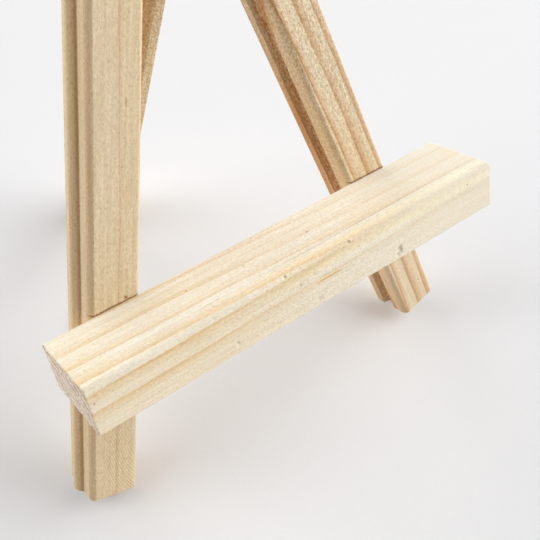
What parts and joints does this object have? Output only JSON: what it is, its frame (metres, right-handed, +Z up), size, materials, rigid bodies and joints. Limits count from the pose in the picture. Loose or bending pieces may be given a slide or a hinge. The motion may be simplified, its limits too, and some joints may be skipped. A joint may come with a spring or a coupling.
{
  "type": "plate display easel",
  "caption": "Small wooden tripod easel: two splayed front legs with a ledge, and a rear leg that folds on a cross bolt, for standing up a plate or picture.",
  "frame": {"origin": "on the floor, in the middle between the two front legs, half way between the ledge's lower front edge and the back of the rear foot", "axes": "+Z up; the front, where the ledge is, faces -Y; +X to the right of someone facing the front"},
  "size_m": [0.1162, 0.1146, 0.1447],
  "materials": {
    "pine_leg_left": "bare sawn softwood, unvarnished",
    "pine_leg_right": "bare sawn softwood, unvarnished",
    "pine_rear_leg": "bare sawn softwood, unvarnished",
    "pine_ledge": "bare planed softwood, unvarnished",
    "zinc_bolt": "zinc plated",
    "zinc_nut": "zinc plated",
    "zinc_washer": "zinc plated",
    "steel_brad": "bright wire"
  },
  "bodies": {
    "front_frame": {"front_leg_left": "pine_leg_left", "front_leg_right": "pine_leg_right", "ledge": "pine_ledge", "pivot_bolt": "zinc_bolt", "pivot_nut": "zinc_nut", "washer_left": "zinc_washer", "washer_right": "zinc_washer", "brad_left_upper": "steel_brad", "brad_left_lower": "steel_brad", "brad_right_upper": "steel_brad", "brad_right_lower": "steel_brad"},
    "rear_leg": {"rear_leg": "pine_rear_leg"}
  },
  "joints": [
    {"name": "rear_leg_fold", "type": "hinge", "parent": "front_frame", "child": "rear_leg", "pos_m": [0, -0.00707, 0.13197], "axis": [-1, 0, 0], "range_deg": [-21, 39]}
  ]
}
